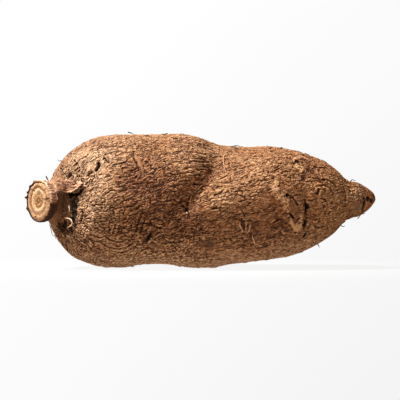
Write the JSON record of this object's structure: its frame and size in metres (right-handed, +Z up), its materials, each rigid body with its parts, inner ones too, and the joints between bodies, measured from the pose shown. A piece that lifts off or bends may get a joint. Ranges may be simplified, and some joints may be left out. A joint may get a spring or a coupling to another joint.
{
  "type": "cassava root",
  "caption": "Whole cassava root lying on its side: thick, with a waist, a tapered tip at one end and a short sawn neck with bark at the other.",
  "frame": {"origin": "middle of the underside of the root's box, on the surface that it lies on", "axes": "+X from the cut neck to the tip, +Z up, and -Y the side that the neck leans to"},
  "size_m": [0.2412, 0.0926, 0.0937],
  "materials": {
    "root_skin": "matte"
  },
  "bodies": {
    "root": {"cassava_root": "root_skin"}
  },
  "joints": []
}
